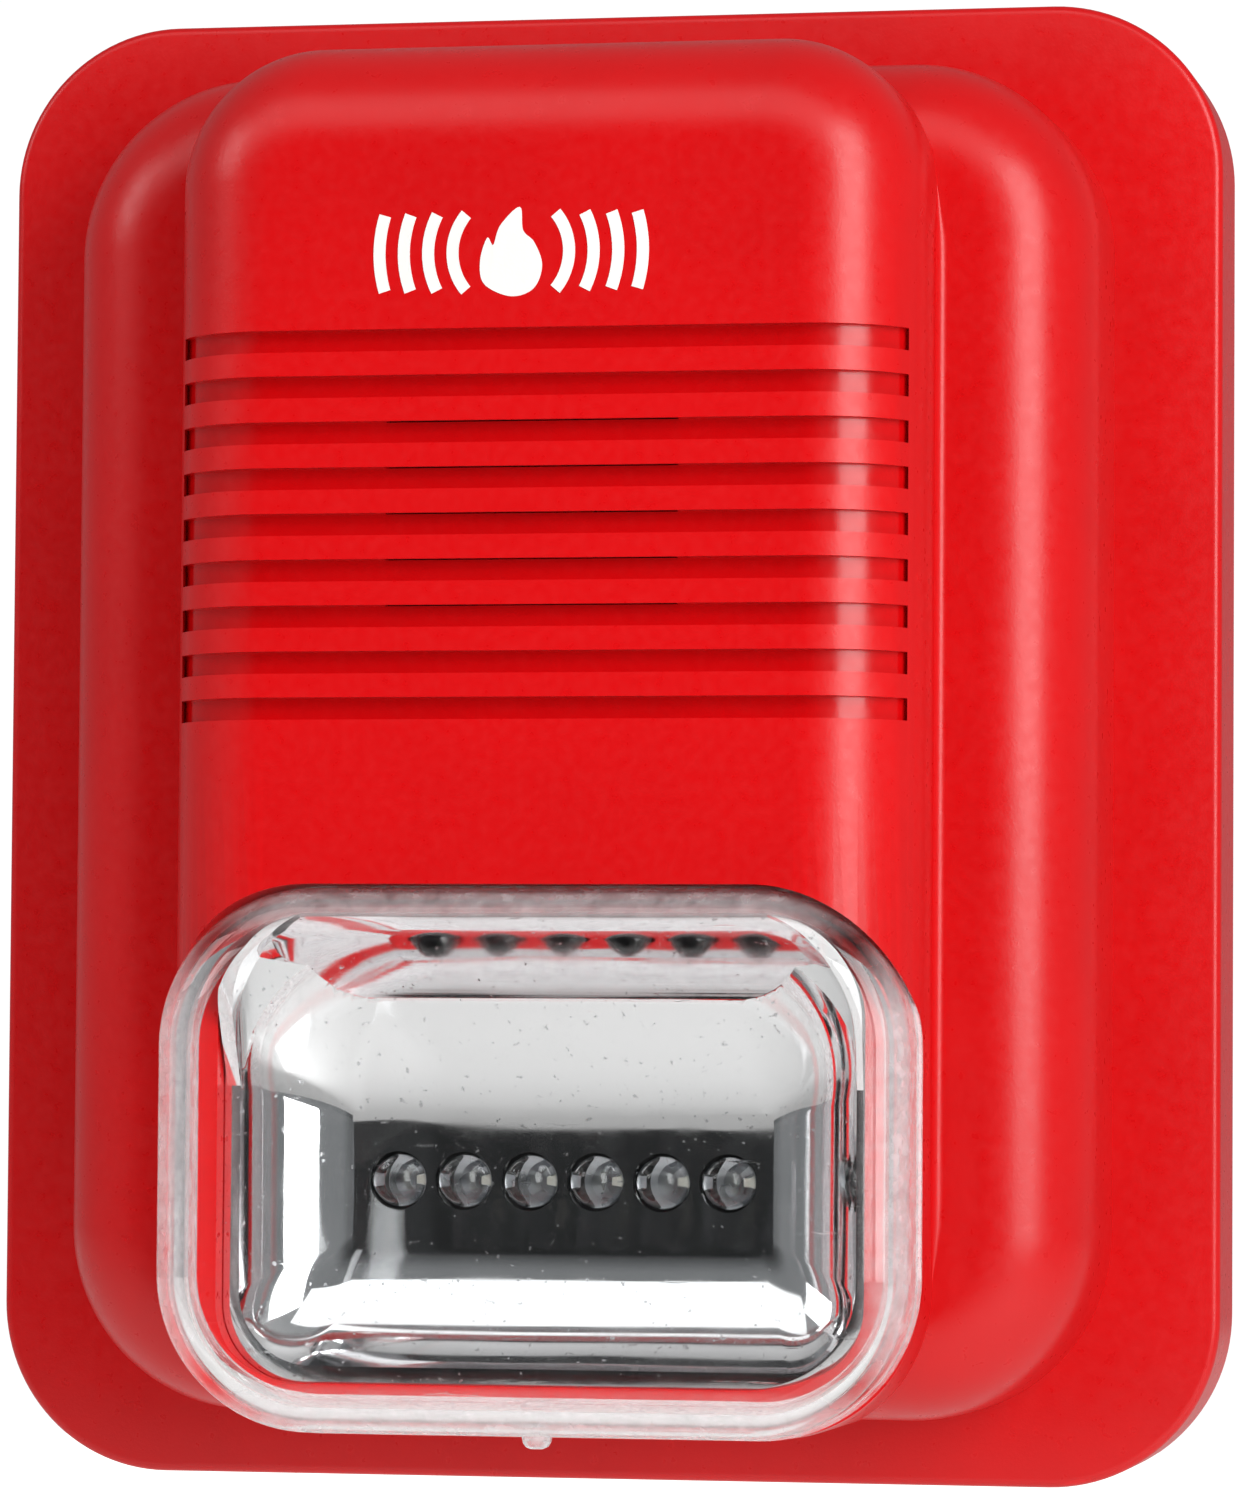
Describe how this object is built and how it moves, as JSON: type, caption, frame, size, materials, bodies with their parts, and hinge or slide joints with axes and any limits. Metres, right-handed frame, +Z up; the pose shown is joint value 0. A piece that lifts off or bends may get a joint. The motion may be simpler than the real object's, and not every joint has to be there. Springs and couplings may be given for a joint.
{
  "type": "horn strobe",
  "caption": "Wall-mounted fire alarm horn strobe: ribbed sounder column above a clear lens with a chromed reflector and a row of LEDs, hung on a wall plate and swinging open.",
  "frame": {"origin": "centre of the mounting plate's wall face", "axes": "+Z up, +X to the right as seen from the front, -Y out of the wall towards the viewer"},
  "size_m": [0.1222, 0.05, 0.145],
  "materials": {
    "red_plastic": "semi-gloss moulded red plastic",
    "clear_plastic": "clear polished plastic",
    "chrome_plating": "vacuum-metallised plastic",
    "led_epoxy": "water-clear epoxy",
    "black_board": "black solder mask",
    "green_board": "green solder mask",
    "black_plastic": "black moulded plastic",
    "foam": "closed-cell foam",
    "brass": "rolled brass",
    "ceramic": "silvered piezo ceramic",
    "steel": "zinc-plated steel",
    "plate_plastic": "off-white moulded plastic",
    "terminal_green": "green moulded plastic",
    "switch_blue": "blue moulded plastic",
    "white_plastic": "white moulded plastic",
    "can_sleeve": "dark printed-free sleeve on an aluminium can",
    "ferrite": "ferrite core in dark sleeve",
    "resistor_tan": "tan lacquer",
    "red_lead": "red insulation",
    "black_lead": "black insulation",
    "nylon": "natural nylon"
  },
  "bodies": {
    "wall_side": {"mounting_plate": "plate_plastic"},
    "front_unit": {"board_screw_1": "steel", "board_screw_2": "steel", "board_screw_3": "steel", "board_screw_4": "steel", "capacitor": "can_sleeve", "controller_ic": "black_plastic", "diode": "black_plastic", "dip_switch": "switch_blue", "front_cover": "red_plastic", "inductor": "ferrite", "led_1": "led_epoxy", "led_2": "led_epoxy", "led_3": "led_epoxy", "led_4": "led_epoxy", "led_5": "led_epoxy", "led_6": "led_epoxy", "led_board": "black_board", "led_board_screw_1": "steel", "led_board_screw_2": "steel", "led_lead_black": "black_lead", "led_lead_red": "red_lead", "lens": "clear_plastic", "main_board": "green_board", "piezo_ceramic": "ceramic", "piezo_disc": "brass", "reflector": "chrome_plating", "reflector_screw_1": "steel", "reflector_screw_2": "steel", "resistor_1": "resistor_tan", "resistor_2": "resistor_tan", "sounder_cap": "black_plastic", "sounder_gasket": "foam", "sounder_housing": "black_plastic", "sounder_lead_black": "black_lead", "sounder_lead_red": "red_lead", "sounder_screw_1": "steel", "sounder_screw_2": "steel", "terminal_block": "terminal_green", "transistor": "black_plastic"},
    "lock_carrier": {"lock_retainer": "nylon"},
    "lock_screw_body": {"lock_screw": "steel"},
    "terminal_screw_body_1": {"terminal_screw_1": "steel"},
    "terminal_screw_body_2": {"terminal_screw_2": "steel"},
    "terminal_screw_body_3": {"terminal_screw_3": "steel"},
    "terminal_screw_body_4": {"terminal_screw_4": "steel"},
    "dip_lever_body_1": {"dip_lever_1": "white_plastic"},
    "dip_lever_body_2": {"dip_lever_2": "white_plastic"}
  },
  "joints": [
    {"name": "cover_swing", "type": "hinge", "parent": "wall_side", "child": "front_unit", "pos_m": [0, -0.002, 0.0682], "axis": [-1, 0, 0], "range_deg": [0, 34]},
    {"name": "lock_travel", "type": "slide", "parent": "front_unit", "child": "lock_carrier", "axis": [0, 0, 1], "range_m": [0, 0.0035]},
    {"name": "lock_turn", "type": "hinge", "parent": "lock_carrier", "child": "lock_screw_body", "pos_m": [0, -0.0069, -0.068], "axis": [0, 0, 1], "range_deg": [0, 2520]},
    {"name": "terminal_turn_1", "type": "hinge", "parent": "front_unit", "child": "terminal_screw_body_1", "pos_m": [-0.0075, -0.0059, -0.019], "axis": [0, -1, 0], "range_deg": [0, 1080]},
    {"name": "terminal_turn_2", "type": "hinge", "parent": "front_unit", "child": "terminal_screw_body_2", "pos_m": [-0.0025, -0.0059, -0.019], "axis": [0, -1, 0], "range_deg": [0, 1080]},
    {"name": "terminal_turn_3", "type": "hinge", "parent": "front_unit", "child": "terminal_screw_body_3", "pos_m": [0.0025, -0.0059, -0.019], "axis": [0, -1, 0], "range_deg": [0, 1080]},
    {"name": "terminal_turn_4", "type": "hinge", "parent": "front_unit", "child": "terminal_screw_body_4", "pos_m": [0.0075, -0.0059, -0.019], "axis": [0, -1, 0], "range_deg": [0, 1080]},
    {"name": "dip_slide_1", "type": "slide", "parent": "front_unit", "child": "dip_lever_body_1", "axis": [0, 0, 1], "range_m": [0, 0.0012]},
    {"name": "dip_slide_2", "type": "slide", "parent": "front_unit", "child": "dip_lever_body_2", "axis": [0, 0, 1], "range_m": [0, 0.0012]}
  ],
  "couplings": [
    {"joint": "lock_turn", "follows": "lock_travel", "rad_per_m": 12566}
  ]
}
